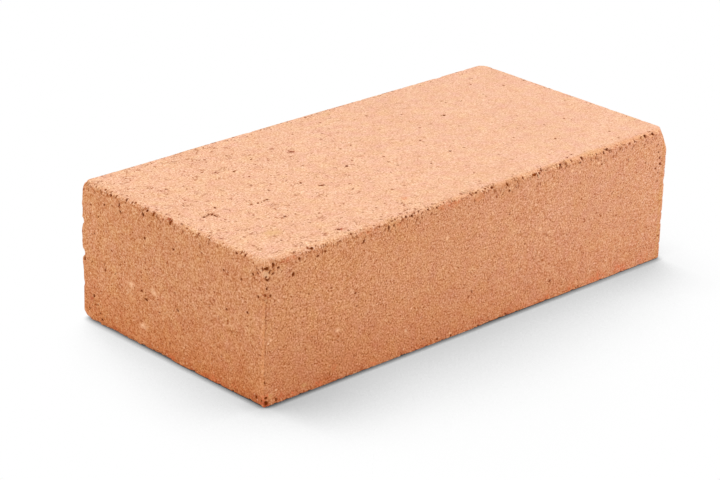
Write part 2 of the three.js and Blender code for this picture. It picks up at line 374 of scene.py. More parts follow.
# The patches of each tone on each face: their place, length and width in mm, turn, and strength
PATCHES = {
    ("stain", "front"): [
        (3.5, 3.9, 3.2, 2.0, 0, 0.45),
        (23.1, 3.3, 3.6, 2.2, 0, 0.45),
    ],
    ("stain", "top"): [
        (23, 22, 8.0, 7.0, 0, 0.45),
        (138, 114, 6.0, 4.0, 0, 0.25),
        (246.5, 20, 5.0, 7.0, 0, 0.40),
    ],
    ("pale", "left"): [
        (0.7, 59.4, 2.0, 2.6, 0, 0.50),
        (3.2, 60.4, 1.3, 1.8, 0, 1.0),
    ],
    ("pale", "front"): [
        (0.7, 59.4, 2.4, 2.6, 0, 0.50),
        (8.0, 59.1, 4.6, 2.2, 0, 0.30),
        (161.7, 63.0, 0.9, 3.2, 0, 0.95),
    ],
    ("pale", "top"): [
        (92, 102, 7.0, 5.0, 30, 0.45),
    ],
    ("bare", "front"): [
        (143, 64.0, 22.0, 2.6, 0, 0.60),
    ],
    ("bare", "top"): [
        (143, 0.6, 22.0, 1.6, 0, 0.35),
    ],
    ("grain", "left"): [
        (86, 27, 2.6, 1.7, 0, 0.85),
        (70, 28, 1.9, 2.2, 0, 0.90),
        (78, 10, 2.3, 2.4, 0, 0.95),
        (54, 46, 1.7, 1.6, 0, 0.60),
    ],
    ("grain", "front"): [
        (164, 37, 2.0, 1.9, 0, 0.75),
        (41, 23, 1.9, 1.8, 0, 0.85),
    ],
    ("ember", "left"): [
        (18.4, 3.3, 3.4, 3.0, 0, 0.75),
        (33, 2.2, 6.0, 2.4, 0, 0.45),
        (58, 2.0, 5.0, 2.2, 0, 0.45),
        (1.2, 2.8, 3.4, 5.0, 0, 0.80),
    ],
    ("ember", "front"): [
        (13, 63.2, 10.0, 2.2, 0, 0.28),
        (58, 63.4, 14.0, 2.6, 0, 0.30),
        (76, 62, 4.0, 2.0, 0, 0.35),
        (106, 63, 16.0, 3.4, 0, 0.34),
        (124, 62, 8.0, 3.0, 0, 0.35),
        (40, 6, 3.0, 2.2, 0, 0.35),
        (9.7, 2.9, 5.0, 2.4, 0, 0.55),
        (16.5, 1.2, 5.0, 2.0, 0, 0.60),
        (30.6, 2.0, 5.0, 2.4, 0, 0.55),
        (63, 1.4, 6.0, 2.0, 0, 0.40),
        (158, 1.6, 8.0, 2.4, 0, 0.50),
        (171, 2.4, 4.0, 2.4, 0, 0.55),
        (186, 1.6, 7.0, 2.4, 0, 0.55),
        (205, 2.0, 12.0, 3.4, 0, 0.60),
        (222, 2.4, 9.0, 4.0, 0, 0.60),
        (238, 2.0, 7.0, 3.0, 0, 0.50),
        (1.2, 2.6, 4.4, 5.0, 0, 0.70),
    ],
    ("ember", "top"): [
        (93.1, 14.9, 4.4, 3.2, 30, 0.50),
    ],
    ("red", "left"): [
        (60.8, 63.9, 4.0, 3.0, 0, 0.80),
        (113, 11, 2.4, 2.0, 0, 0.60),
        (5, 2, 9.0, 4.0, 0, 0.55),
        (45, 1.0, 4.0, 2.0, 0, 0.55),
        (26, 1.6, 8.0, 2.6, 0, 0.35),
    ],
    ("red", "front"): [
        (9.5, 62.6, 7.0, 1.6, 0, 0.35),
        (1.6, 49.6, 4.0, 2.6, 0, 0.45),
        (119, 43, 3.0, 2.4, 0, 0.30),
        (86, 11, 2.6, 2.0, 0, 0.35),
        (1, 1.2, 4.0, 3.0, 0, 0.95),
        (44, 0.6, 2.0, 1.6, 0, 0.80),
        (94, 0.8, 3.0, 1.8, 0, 0.50),
        (145, 1.0, 3.6, 2.0, 0, 0.55),
        (129, 2.5, 7.0, 3.0, 0, 0.35),
    ],
    ("red", "top"): [
        (117, 87, 7.0, 5.0, 0, 0.12),
        (48.2, 6.6, 4.2, 2.6, -30, 0.75),
        (93.6, 87.6, 5.0, 3.6, -28, 0.45),
        (17, 53, 7.0, 4.0, -30, 0.25),
        (136, 68, 2.6, 2.0, 0, 0.30),
    ],
}

# Smaller pits are strewn over every face: how many to each 1000 square mm, and their sizes. Like
# crumbs, most of them are near the small end, and each is a little longer than it is wide.
PITS_EACH_1000 = {"left": 3.4, "right": 3.0, "front": 2.2, "back": 3.0, "base": 3.0, "top": 2.4}
PIT_ACROSS = (0.6, 1.3)
PIT_DEEP = (0.3, 0.75)
PIT_SIZE_MOST = {"front": 0.45}
PITS_CLEAR_OF_TOP = 4.0
SMALL_ENDED = 3
LONGER = (1, 1.6)


def between(limits, share):
    return limits[0] + (limits[1] - limits[0]) * share


def strewn_pits(rng):
    """Small pits at random on all six faces."""
    pits = []
    for face, (_, _, across, up) in FACES.items():
        wide, tall = (LENGTH, WIDTH, HEIGHT)[across], (LENGTH, WIDTH, HEIGHT)[up]
        for _ in range(int(PITS_EACH_1000[face] * wide * tall / 1000)):
            size = min(rng.uniform() ** SMALL_ENDED, PIT_SIZE_MOST.get(face, 1.0))
            width = between(PIT_ACROSS, size)
            depth = between(PIT_DEEP, size)
            place = rng.uniform(0, wide), rng.uniform(0, tall - PITS_CLEAR_OF_TOP)
            long = width * rng.uniform(*LONGER)
            turn = rng.uniform(0, 180)
            pits.append((face, *place, long, width, depth, turn))
    return pits


def beside_arris(face, other, along, away):
    """The place on a face that is so far along its arris with another face, and so far from it."""
    axis, side, _, _ = FACES[other]
    across = (LENGTH, WIDTH, HEIGHT)[axis] - away if side else away
    return (across, along) if axis == FACES[face][2] else (along, across)


def lost_crumbs(rng):
    """Pits where crumbs have dropped from the arrises. They huddle, and run away from the edge."""
    pits = []
    for first, second, _, reach, _, each_100 in ARRISES:
        run_axis = 3 - FACES[first][0] - FACES[second][0]
        run = (LENGTH, WIDTH, HEIGHT)[run_axis]
        count = int(each_100 * run / 100)
        huddles = rng.uniform(0, run, max(2, count // CRUMBS_TO_HUDDLE))
        for _ in range(count):
            on_first = rng.uniform() < CRUMBS_ON_FIRST_FACE
            face, other = (first, second) if on_first else (second, first)
            along = rng.choice(huddles) + rng.normal(0, CRUMB_HUDDLE)
            away = CRUMB_LEAST_AWAY + reach * rng.uniform() ** CRUMBS_NEAR_ARRIS
            size = rng.uniform() ** SMALL_ENDED
            width = between(CRUMB_ACROSS, size)
            depth = between(CRUMB_DEEP, size)
            place = beside_arris(face, other, along, away)
            turn = (0 if run_axis == FACES[face][3] else 90) + rng.normal(0, CRUMB_TURN)
            crumb = (face, *place, width * rng.uniform(*LONGER), width, depth, turn)
            marked = along < MARKED_TO and (first, second) in ARRIS_NICKS
            if not marked:
                pits.append(crumb)
    return pits


def arris_nicks():
    """The nicks right on an arris, each as a pit in the face that it is further down."""
    pits = []
    for (first, second), nicks in ARRIS_NICKS.items():
        for along, down, across, tall, depth in nicks:
            face, other = (second, first) if down > 0 else (first, second)
            pits.append((face, *beside_arris(face, other, along, abs(down)), across, tall, depth, 0))
    return pits


def skin_of_each_face(points, deep):
    return {face: np.flatnonzero(below_face(points, face) < deep) for face in FACES}


def in_patch(points, skin, outline, ragged, axes):
    """Which points are near a pit or patch, and how far out each is: 0 at its middle, 1 at its rim."""
    along, up, long, wide, turn = outline
    reach = max(long, wide)
    close = np.abs(points[skin, axes[0]] - along) < reach
    close &= np.abs(points[skin, axes[1]] - up) < reach
    near = skin[close]
    u = points[near, axes[0]] - along
    v = points[near, axes[1]] - up
    angle = math.radians(turn)
    turned_u = (u * math.cos(angle) + v * math.sin(angle)) / (long / 2)
    turned_v = (v * math.cos(angle) - u * math.sin(angle)) / (wide / 2)
    return near, np.hypot(turned_u, turned_v) + ragged[near]


# How uneven the faces are, and how ragged the rims of what breaks away and of the patches: for each
# layer of lumps how strong it is, the size of its lumps in mm, and its seed
FACE_SWELL = [(0.12, 40.0, 1), (0.05, 9.0, 2)]
BREAK_RAGGED = [(0.45, 2.6, 3), (0.35, 1.3, 4), (0.25, 0.8, 8)]
BREAK_STRETCHES = [(0.35, 17.0, 5)]
PIT_RAGGED = [(0.35, 0.8, 6)]
PATCH_RAGGED = [(0.35, 1.1, 11), (0.25, 0.6, 12)]
FACE_SAG = 0.12
FACE_SKIN = (1.5, 0.2)

# An arris crumbles in full within that share of its reach, where the lumps pass those limits, which
# come down as its share goes up. Crumbled clay gets half the painted shade and dark clay of a pit's
# inside.
ARRIS_FULL = 0.3
LOOSE = (0.9, 1.2)
LOOSE_WITH_SHARE = 1.6
RUBBED_LOOKS_BROKEN = 0.5

# A pit and a patch reach so deep, in mm, and fade in from so far beyond their rim to so far inside
PIT_DEEPEST = 3.0
PATCH_DEEP = 2.0
PIT_BOWL = (1.15, 0.55)
PIT_RIM = (1.1, 0.75)
PATCH_FADE = (1.2, 0.5)
PIT_FULLY_BROKEN = 0.8


def sag_faces(points, moved):
    """Sinks each face a little, unevenly, as clay dries."""
    swell = layered(points, FACE_SWELL)
    for face in FACES:
        skin = smooth_step(below_face(points, face), *FACE_SKIN)
        moved += (skin * (FACE_SAG + swell))[:, None] * inward(face)


def crumble_arrises(points, moved, broken, ragged):
    """Rubs clay off each arris in ragged stretches, which take up about its share of the length."""
    unsound = ragged + layered(points, BREAK_STRETCHES)
    for first, second, deep, reach, share, _ in ARRISES:
        far = np.maximum(below_face(points, first), below_face(points, second))
        near = smooth_step(far, reach, ARRIS_FULL * reach)
        loose = smooth_step(unsound, *(limit - LOOSE_WITH_SHARE * share for limit in LOOSE))
        depth = deep * near * loose
        moved += depth[:, None] * (inward(first) + inward(second)) / math.sqrt(2)
        np.maximum(broken, RUBBED_LOOKS_BROKEN * near * loose, out=broken)


def change_edges(points, moved, ragged):
    """Makes the arrises sharper or blunter where EDGE_CHANGES says."""
    for first, second, start, end, sharper in EDGE_CHANGES:
        run = points[:, 3 - FACES[first][0] - FACES[second][0]]
        far = np.maximum(below_face(points, first), below_face(points, second))
        held = smooth_step(run, start - EDGE_FADE, start) * smooth_step(run, end + EDGE_FADE, end)
        held *= smooth_step(far, *EDGE_REACH) * sharper * (1 + ragged)
        moved -= held[:, None] * (inward(first) + inward(second))


def sink_pits(points, moved, broken):
    """Sinks every pit, nick and crumb. Each fades out under its own depth, inside the clay."""
    wander = layered(points, PIT_RAGGED)
    pits = [(face, *mark) for face, marks in MARKS.items() for mark in marks]
    pits += arris_nicks() + lost_crumbs(np.random.default_rng(9))
    pits += strewn_pits(np.random.default_rng(7))
    skins = skin_of_each_face(points, PIT_DEEPEST)
    for face, along, up, long, wide, deep, turn in pits:
        outline = along, up, long, wide, turn
        near, out = in_patch(points, skins[face], outline, wander, FACES[face][2:])
        under = below_face(points[near], face)
        bowl = smooth_step(out, *PIT_BOWL) * smooth_step(under, 1.6 * deep + 1.2, 0.4)
        moved[near] += (deep * bowl)[:, None] * inward(face)
        rim = smooth_step(out, *PIT_RIM) * smooth_step(under, deep + 1.0, 0.5 * deep + 0.3)
        broken[near] = np.maximum(broken[near], rim * min(1, deep / PIT_FULLY_BROKEN))


def worn_surface(points):
    """Where each point of the new brick ends up, and how far it is broken away, from 0 to 1."""
    moved = points.copy()
    broken = np.zeros(len(points))
    ragged = layered(points, BREAK_RAGGED)
    sag_faces(points, moved)
    crumble_arrises(points, moved, broken, ragged)
    change_edges(points, moved, ragged)
    sink_pits(points, moved, broken)
    return moved, broken


def toned_patches(points):
    """How strongly each tone of patch lies on each point."""
    tones = {tone: np.zeros(len(points)) for tone in PATCH_TONES}
    ragged = layered(points, PATCH_RAGGED)
    skins = skin_of_each_face(points, PATCH_DEEP)
    for (tone, face), patches in PATCHES.items():
        for *outline, strength in patches:
            near, out = in_patch(points, skins[face], outline, ragged, FACES[face][2:])
            spot = strength * smooth_step(out, *PATCH_FADE)
            tones[tone][near] = np.maximum(tones[tone][near], spot)
    return tones


# The mesh is thinned where it is plain. A place whose masks pass KEPT_ABOVE thins only by the
# small share KEPT_THINS, so that pits and crumbled arrises keep nearly all their points.
TRIANGLES = 192000
KEPT_ABOVE = 0.04
KEPT_THINS = 0.02

brick = dense_copy(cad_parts["brick"], "brick_body")
count = len(brick.data.vertices)
flat = np.empty(count * 3)
brick.data.vertices.foreach_get("co", flat)
fresh = flat.reshape(-1, 3) / MM - low
worn, broken = worn_surface(fresh)
worn = np.clip(worn, 0, high - low)
brick.data.vertices.foreach_set("co", ((worn + low) * MM).ravel())
masks = {"broken": broken, **toned_patches(fresh)}
for name, mask in masks.items():
    layer = brick.data.attributes.new(name, "FLOAT", "POINT")
    layer.data.foreach_set("value", mask)
brick.data.update()

plain = brick.vertex_groups.new(name="plain")
detailed = np.max(list(masks.values()), axis=0) > KEPT_ABOVE
plain.add(np.flatnonzero(~detailed).tolist(), 1.0, "REPLACE")
plain.add(np.flatnonzero(detailed).tolist(), KEPT_THINS, "REPLACE")
thin = brick.modifiers.new("thin", "DECIMATE")
thin.ratio = TRIANGLES / (2 * len(brick.data.polygons))
thin.use_collapse_triangulate = True
thin.vertex_group = plain.name
thin.vertex_group_factor = 1.0
apply_modifiers(brick)
brick.vertex_groups.clear()
brick.data.polygons.foreach_set("use_smooth", [True] * len(brick.data.polygons))

# The six faces laid out flat side by side, in mm: where the corner of each one goes
SHEET_GAP = 3.0
SHEET = 2 * WIDTH + 2 * HEIGHT + 5 * SHEET_GAP
SHEET_PLACES = {
    "top": (SHEET_GAP, SHEET_GAP, False),
    "base": (SHEET_GAP, WIDTH + 2 * SHEET_GAP, False),
    "front": (SHEET_GAP, 2 * WIDTH + 3 * SHEET_GAP, False),
    "back": (SHEET_GAP, 2 * WIDTH + HEIGHT + 4 * SHEET_GAP, False),
    "left": (LENGTH + 2 * SHEET_GAP, SHEET_GAP, True),
    "right": (LENGTH + 2 * SHEET_GAP, WIDTH + 2 * SHEET_GAP, True),
}


def lay_out_flat(mesh):
    """A map of the brick's skin: each triangle belongs to the face whose plane it is nearest."""
    corners = np.empty(len(mesh.vertices) * 3)
    mesh.vertices.foreach_get("co", corners)
    corners = corners.reshape(-1, 3) / MM - low
    loops = np.empty(len(mesh.loops), dtype=int)
    mesh.loops.foreach_get("vertex_index", loops)
    triangles = loops.reshape(-1, 3)
    middles = corners[triangles].mean(axis=1)
    names = list(FACES)
    nearest = np.argmin([below_face(middles, face) for face in names], axis=0)
    places = np.empty((len(loops), 2))
    for index, face in enumerate(names):
        chosen = np.repeat(nearest == index, 3)
        _, _, u_axis, v_axis = FACES[face]
        start_u, start_v, on_end = SHEET_PLACES[face]
        u = corners[loops[chosen], u_axis]
        v = corners[loops[chosen], v_axis]
        if on_end:
            u, v = v, u
        places[chosen] = np.column_stack((start_u + u, start_v + v))
    layer = mesh.uv_layers.new(name="OFBake")
    layer.data.foreach_set("uv", (places / SHEET).ravel())


lay_out_flat(brick.data)
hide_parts("brick")
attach(brick, "root")


# ---- The brick: its clay ----------------------------------------------------------------------
# Fired clay with sand and crushed brick in it. The bed faces are paler and closer than the sides,
# the sides show dark pores and light and red grains, and the foot is burnt a deeper red.
def plug(socket, value):
    """Joins an output to a socket, or sets the socket to a plain value."""
    if isinstance(value, bpy.types.NodeSocket):
        socket.id_data.links.new(value, socket)
    else:
        socket.default_value = value


def wired(kind, sockets, **settings):
    """A new node with its sockets joined or set, in the tree of the outputs that it joins."""
    joined = (value for value in sockets.values() if isinstance(value, bpy.types.NodeSocket))
    node = next(joined).id_data.nodes.new(kind)
    for name, setting in settings.items():
        setattr(node, name, setting)
    for label, value in sockets.items():
        plug(node.inputs[label], value)
    return node


def math_node(operation, *values, clamp=False):
    sockets = dict(enumerate(values))
    return wired("ShaderNodeMath", sockets, operation=operation, use_clamp=clamp).outputs[0]


def plus(total, *others):
    for value in others:
        total = math_node("ADD", total, value)
    return total


def times(first, second):
    return math_node("MULTIPLY", first, second)


def either(first, second):
    """The larger of the two."""
    return math_node("MAXIMUM", first, second)


def scaled(value, slope, start=0.0):
    """A straight line: start where the value is 0, and so much more for each 1 of it."""
    return math_node("MULTIPLY_ADD", value, slope, start)


def about_zero(value, spread=1.0):
    """A noise from 0 to 1 turned into one of that whole spread about 0."""
    return scaled(value, spread, -0.5 * spread)


def ramp(value, start, end):
    """0 at start and 1 at end, smooth between them. start may be the larger, or an output."""
    flip = isinstance(start, bpy.types.NodeSocket) or start > end
    sockets = {
        "Value": value,
        "From Min": end if flip else start,
        "From Max": start if flip else end,
        "To Min": 1.0 if flip else 0.0,
        "To Max": 0.0 if flip else 1.0,
    }
    return wired("ShaderNodeMapRange", sockets, interpolation_type="SMOOTHSTEP").outputs["Result"]


def vector_node(operation, *values):
    return wired("ShaderNodeVectorMath", dict(enumerate(values)), operation=operation).outputs[0]


def distance(place, centre):
    node = wired("ShaderNodeVectorMath", {0: place, 1: centre}, operation="DISTANCE")
    return node.outputs["Value"]


def axes_of(vector):
    return wired("ShaderNodeSeparateXYZ", {0: vector}).outputs


def mix_colour(share, first, second):
    return wired("ShaderNodeMix", {0: share, 6: first, 7: second}, data_type="RGBA").outputs[2]


def noise(place, size, detail=0.0, rough=0.5):
    """Soft noise whose lumps are about that size in mm, from 0 to 1."""
    sockets = {"Vector": place, "Scale": 1.0 / size, "Detail": detail, "Roughness": rough}
    return wired("ShaderNodeTexNoise", sockets, noise_dimensions="3D").outputs["Fac"]


def cells_and_chances(place, scale):
    """Random cells: how far each place is from its cell's middle, and three chances for the cell."""
    cells = wired("ShaderNodeTexVoronoi", {"Vector": place, "Scale": scale}).outputs
    return cells["Distance"], wired("ShaderNodeSeparateColor", {"Color": cells["Color"]}).outputs


def sand_grains(place, size):
    """Packed grains of about that size in mm, each with its own tone, from -0.5 to 0.5."""
    _, chance = cells_and_chances(place, 1.0 / size)
    return math_node("SUBTRACT", chance["Red"], 0.5)


# A speck isn't round: its cell is bent by a fine noise. The smallest is that share of the radius,
# and each is solid but for the outer third of it.
SPECK_BEND_SCALE = 1.6
SPECK_BEND = (0.9, 0.9, 0.9)
SPECK_LEAST = 0.35
SPECK_CRISP = 3.0


def make_specks():
    """Grains or pores strewn through the clay: one in each cell of that spacing, of uneven size."""
    group = bpy.data.node_groups.new("specks in clay", "ShaderNodeTree")
    group.interface.new_socket("Place", in_out="INPUT", socket_type="NodeSocketVector")
    for label in ("Spacing", "Radius", "Share", "Shift"):
        group.interface.new_socket(label, in_out="INPUT", socket_type="NodeSocketFloat")
    group.interface.new_socket("Mask", in_out="OUTPUT", socket_type="NodeSocketFloat")
    given = group.nodes.new("NodeGroupInput").outputs
    made = group.nodes.new("NodeGroupOutput").inputs
    bend = wired(
        "ShaderNodeTexNoise",
        {"Vector": given["Place"], "Scale": SPECK_BEND_SCALE, "Detail": 0.0},
    )
    bend = vector_node("SUBTRACT", bend.outputs["Color"], (0.5, 0.5, 0.5))
    place = vector_node("ADD", given["Place"], vector_node("MULTIPLY", bend, SPECK_BEND))
    place = vector_node("ADD", place, given["Shift"])
    away, chance = cells_and_chances(place, math_node("DIVIDE", 1.0, given["Spacing"]))
    away = times(away, given["Spacing"])
    size = scaled(given["Radius"], SPECK_LEAST, times(given["Radius"], chance["Red"]))
    inside = math_node("SUBTRACT", 1.0, math_node("DIVIDE", away, size))
    disc = math_node("MULTIPLY", inside, SPECK_CRISP, clamp=True)
    there = math_node("LESS_THAN", chance["Green"], given["Share"])
    plug(made["Mask"], times(disc, there))
    return group


SPECKS = make_specks()


def specks(place, kind, share):
    """Specks of a kind, which is their spacing and radius in mm and a shift that is their own."""
    spacing, radius, shift = kind
    sockets = {"Place": place, "Spacing": spacing, "Radius": radius, "Share": share, "Shift": shift}
    return wired("ShaderNodeGroup", sockets, node_tree=SPECKS).outputs["Mask"]


def redder_when_dark(tone, steepness):
    """A tone for each of red, green and blue: where it falls, green and blue fall faster."""
    falls = {index: math_node("POWER", tone, steep) for index, steep in enumerate(steepness)}
    return wired("ShaderNodeCombineXYZ", falls).outputs[0]


def new_material(name):
    """A material with nothing in it but its output, and that output's socket for the surface."""
    material = bpy.data.materials.new(name)
    material.use_nodes = True
    nodes = material.node_tree.nodes
    nodes.clear()
    return material, nodes.new("ShaderNodeOutputMaterial").inputs["Surface"]


BED_CLAY = (0.838, 0.471, 0.295, 1)
BED_CLAY_FAR = (0.826, 0.473, 0.308, 1)
BED_RIM_CLAY = (0.80, 0.41, 0.218, 1)
SIDE_CLAY = (0.653, 0.286, 0.133, 1)
SIDE_CLAY_FAR = (0.682, 0.318, 0.173, 1)
FOOT_CLAY = (0.612, 0.232, 0.100, 1)
END_FOOT_CLAY = (0.585, 0.205, 0.072, 1)
# Pale clay, also used for the painted highlights on the left end by its front arris and on the seam
PALE_END_CLAY_AND_HIGHLIGHT = (0.78, 0.335, 0.145, 1)
# Part stain, part painted shade: a darker band on the sides by the right-hand arris
RIGHT_EDGE_SHADE_AND_STAIN = (0.60, 0.28, 0.085, 1)
BURNT_CLAY = (0.58, 0.165, 0.055, 1)
# Painted shade over darker clay, for the inside of pits, broken places and lost crumbs
PIT_SHADE_AND_DARK_CLAY = (0.26, 0.050, 0.002, 1)
PORE = (0.32, 0.060, 0.004, 1)
PALE_GRAIN = (0.90, 0.52, 0.31, 1)
RED_GRAIN = (0.60, 0.17, 0.08, 1)

# How steeply red, green and blue fall with a tone
SLOW_STEEPNESS = (1.0, 1.40, 1.85)
GRAIN_STEEPNESS = (0.9, 1.68, 2.45)
BED_GRAIN_STEEPNESS = (0.95, 1.60, 2.05)

# Sizes of the lumps and grains that shade the clay, in mm
CLOUD = 30.0
CLUSTER = 11.0
YELLOW_PATCH = 7.0
PATCH = 6.0
BLUR = 1.1
GRIT = 0.85
SAND = 0.72
DUST = 0.34

# Each kind of speck: its spacing and radius in mm, and its own shift
FINE_PORES = (1.1, 0.32, 37.0)
WIDE_PORES = (2.8, 0.70, 51.0)
CRUMBS = (1.5, 0.62, 71.0)
SMALL_CRUMBS = (1.1, 0.46, 83.0)
PALE_GRAINS = (1.6, 0.4, 11.0)
SANDY_GRAINS = (6.0, 0.75, 97.0)
RED_GRAINS = (4.0, 0.6, 23.0)

# Which faces are beds, and which is the left end: how far up or right they face, from -1 to 1
TOP_FACING = (0.58, 0.86)
UNDER_FACING = (-0.9, -0.99)
END_FACING = (-0.6, -0.8)

# Along the brick, in mm from its middle: where its left look turns into its right one, and where
# the upper arrises are sound again
LEFT_TO_RIGHT = (-110.0, 110.0)
SOUND_FAR = (48.0, 72.0)

# Bands along the brick's edges, in mm from its foot, an arris or its lower left front corner:
# where each one starts, and where it is full
FOOT_REACH = 40.0
KILN_EDGE = (3.2, 0.4)
DARKER_NEAR_CORNER = (55.0, 8.0)
# Darker towards the lower left front corner
SOUND_NEAR = (100.0, 84.0)
SOUND_LEFT = (8.0, 3.0)
BED_LEFT_RIM = (2.6, 0.8)
FAR_OF_END = (50.0, WIDTH)
# A painted highlight on the left end, along its front arris
END_RIM_HIGHLIGHT = (3.6, 1.2)
ON_LEFT_ARRIS = (1.0, 0.6)
END_LIP = (1.2, 0.6)
FRONT_HALF = (66.0, 54.0)
# The band by the right-hand arris is part stain, part painted shade
RIGHT_EDGE_SHADE_OUTER = (4.4, 3.4)
RIGHT_EDGE_SHADE_INNER = (1.8, 2.6)
CRUMBLING = (5.5, 0.4)
FLAKING = (8.0, 0.4)
SEAM_UP = (56.0, 44.0)
# The seam's pale ridge is pale clay with a painted highlight, and the dark line beside it is a painted
# shadow
SEAM_HIGHLIGHT_OUTER = (1.7, 1.2)
SEAM_HIGHLIGHT_INNER = (0.4, 0.7)
SEAM_SHADOW = (0.6, 0.3)

# How far patches and blur push the bands to and fro, in mm
FOOT_WANDER = 12.0
KILN_WANDER = 7.0
RIM_WANDER = 2.0
LIP_WANDER = 2.2
CRUMB_WANDER = 2.5

# What gathers where the clusters are strong: from which strength of them, and where it is full
BURNT_GATHER = (0.42, 0.62)
PORES_GATHER = (0.38, 0.66)
CRUMBS_GATHER = (0.26, 0.54)
FLAKES_GATHER = (0.30, 0.60)

# Tears in the beds: the size of their curls and of the patches that have them, in mm, how thin a
# line of each curl is torn, and how strong a patch must be
CURL = 2.6
TORN_PATCH = 4.5
CURL_LINE = (0.055, 0.015)
TORN = (0.625, 0.68)


def find_places(tree):
    """What the clay depends on: where each place is in mm, how it faces, and the noises there."""
    at = SimpleNamespace(tree=tree)
    whole = tree.nodes.new("ShaderNodeTexCoord").outputs["Object"]
    in_mm = wired("ShaderNodeVectorMath", {0: whole, "Scale": 1 / MM}, operation="SCALE")
    at.place = in_mm.outputs[0]
    axes = axes_of(at.place)
    at.along = axes["X"]
    at.up = axes["Z"]
    at.from_left = scaled(at.along, 1.0, LENGTH / 2)
    at.from_right = scaled(at.along, -1.0, LENGTH / 2)
    at.from_front = scaled(axes["Y"], 1.0, WIDTH / 2)
    at.below_top = scaled(at.up, -1.0, HEIGHT)
    at.from_corner = distance(at.place, (-LENGTH / 2, -WIDTH / 2, 0))
    from_side = scaled(math_node("ABSOLUTE", axes["Y"]), -1.0, WIDTH / 2)
    from_end = scaled(math_node("ABSOLUTE", at.along), -1.0, LENGTH / 2)
    at.from_rim = either(math_node("MINIMUM", from_side, from_end), at.below_top)

    facing = axes_of(tree.nodes.new("ShaderNodeNewGeometry").outputs["Normal"])
    at.bed = either(ramp(facing["Z"], *TOP_FACING), ramp(facing["Z"], *UNDER_FACING))
    at.on_end = ramp(facing["X"], *END_FACING)
    at.on_long_side = scaled(at.on_end, -0.6, 1.0)
    at.to_right = ramp(at.along, *LEFT_TO_RIGHT)

    at.patch = noise(at.place, PATCH, 1.0)
    at.clusters = noise(at.place, CLUSTER, 1.0)
    at.blur = noise(at.place, BLUR, 1.0, 0.6)
    at.wander = about_zero(at.blur)
    at.kiln_edge = ramp(plus(at.up, about_zero(at.patch, KILN_WANDER)), *KILN_EDGE)
    at.sound_near = ramp(at.from_corner, *SOUND_NEAR)
    return at


def bed_colour(at):
    """The pale skin of the beds, warmer where their front and left rims are rubbed."""
    colour = mix_colour(at.to_right, BED_CLAY, BED_CLAY_FAR)
    front_reach = scaled(at.to_right, 1.8, 3.2)
    front_rim = ramp(plus(at.from_front, scaled(at.wander, RIM_WANDER)), front_reach, 1.2)
    colour = mix_colour(times(front_rim, scaled(at.to_right, 0.5, 0.5)), colour, BED_RIM_CLAY)
    left_rim = ramp(plus(at.from_left, scaled(at.wander, RIM_WANDER)), *BED_LEFT_RIM)
    return mix_colour(times(left_rim, 0.6), colour, BED_RIM_CLAY)


def side_colour(at, skin):
    """The sides: a redder foot, marks of the kiln low down, and the bed's skin lapping over."""
    low_down = scaled(plus(at.up, about_zero(at.patch, FOOT_WANDER)), -1 / FOOT_REACH, 1.0)
    low_down = math_node("POWER", either(low_down, 0.0), 1.6)
    foot = mix_colour(at.on_end, FOOT_CLAY, END_FOOT_CLAY)
    kiln_share = times(at.on_long_side, scaled(at.to_right, -0.40, 0.24))
    far_of_end = times(at.on_end, ramp(at.from_front, *FAR_OF_END))
    gathered_low = times(at.kiln_edge, ramp(at.clusters, *BURNT_GATHER))
    # Part stain, part painted shade, in a band by the right-hand arris
    right_edge_shade_and_stain = times(ramp(at.from_right, *RIGHT_EDGE_SHADE_OUTER), ramp(at.from_right, *RIGHT_EDGE_SHADE_INNER))
    lip_reach = scaled(times(at.sound_near, at.on_long_side), 0.7, 1.4)
    lip = ramp(plus(at.below_top, scaled(at.wander, LIP_WANDER)), lip_reach, 0.6)
    end_lip = times(ramp(at.from_left, *END_LIP), ramp(at.from_front, *FRONT_HALF))
    lip_share = scaled(at.to_right, 0.2, scaled(end_lip, 0.2, 0.70))
    # A painted highlight on the left end, along its front arris
    end_rim_highlight = times(ramp(at.from_front, *END_RIM_HIGHLIGHT), ramp(at.from_left, *ON_LEFT_ARRIS))

    colour = mix_colour(at.to_right, SIDE_CLAY, SIDE_CLAY_FAR)
    layers = [
        (low_down, scaled(at.to_right, -0.55, 1.0), foot),
        (at.kiln_edge, kiln_share, PORE),
        (ramp(at.from_corner, *DARKER_NEAR_CORNER), 0.08, PORE),
        (far_of_end, 0.16, PALE_END_CLAY_AND_HIGHLIGHT),
        (gathered_low, scaled(at.on_end, 0.5, 0.4), BURNT_CLAY),
        (right_edge_shade_and_stain, 0.35, RIGHT_EDGE_SHADE_AND_STAIN),
        (lip, lip_share, skin),
        (end_rim_highlight, 0.35, PALE_END_CLAY_AND_HIGHLIGHT),
    ]
    for mask, share, tint in layers:
        colour = mix_colour(times(mask, share), colour, tint)
    return colour


def grain_of_clay(at):
    """Sand and dust: how much lighter or darker than its surroundings each place is."""
    dust = scaled(sand_grains(at.place, DUST), 0.45)
    dust = plus(dust, about_zero(noise(at.place, SAND), 0.98))
    fine = times(dust, scaled(at.bed, -0.35, 0.88))
    fine = scaled(sand_grains(at.place, GRIT), scaled(at.bed, 0.12, 0.06), fine)
    return plus(fine, about_zero(at.blur, 0.12))


